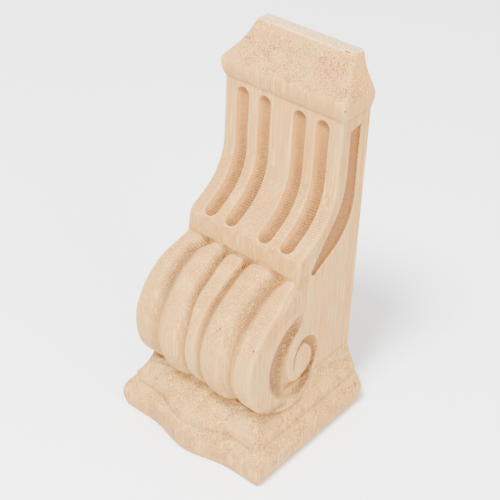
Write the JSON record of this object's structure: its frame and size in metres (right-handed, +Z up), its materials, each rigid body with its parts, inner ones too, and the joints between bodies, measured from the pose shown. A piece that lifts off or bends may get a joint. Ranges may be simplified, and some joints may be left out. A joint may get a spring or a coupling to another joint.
{
  "type": "wooden shelf bracket",
  "caption": "Carved wooden corbel used as a shelf bracket: moulded cap, fluted hollow apron, lobed scroll with side volutes, and a wide moulded foot.",
  "frame": {"origin": "middle of the underside, the wide moulded end that it stands on", "axes": "+Z up from the wide end to the narrow capped end, +Y out of the flat back, -Y out of the carved front, +X across the width"},
  "size_m": [0.0764, 0.0758, 0.165],
  "materials": {
    "wood": "bare sanded pale hardwood, unfinished"
  },
  "bodies": {
    "root": {"corbel": "wood"}
  },
  "joints": []
}
